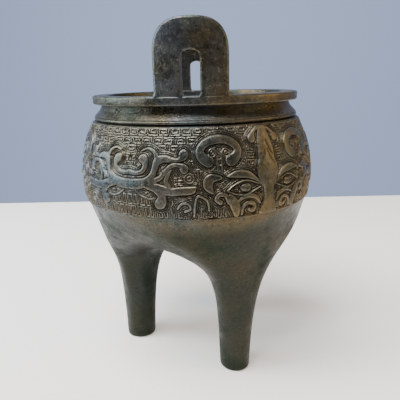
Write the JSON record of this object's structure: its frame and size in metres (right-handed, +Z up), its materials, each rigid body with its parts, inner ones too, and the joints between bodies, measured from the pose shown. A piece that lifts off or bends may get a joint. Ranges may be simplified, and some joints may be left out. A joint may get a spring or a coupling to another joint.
{
  "type": "tripod food vessel",
  "caption": "Cast bronze ding: a lobed bowl on round legs with a carved belt of beast masks, a flat rim and upright loop handles.",
  "frame": {"origin": "on the ground, in the middle under the bowl", "axes": "+Z up; the handles stand at -Y and +Y, one leg points to -X and the other two lie on the +X side"},
  "size_m": [0.2109, 0.2103, 0.2959],
  "materials": {
    "patinated_bronze": "dark aged bronze with a brown-green patina"
  },
  "bodies": {
    "root": {"ding_vessel": "patinated_bronze"}
  },
  "joints": []
}
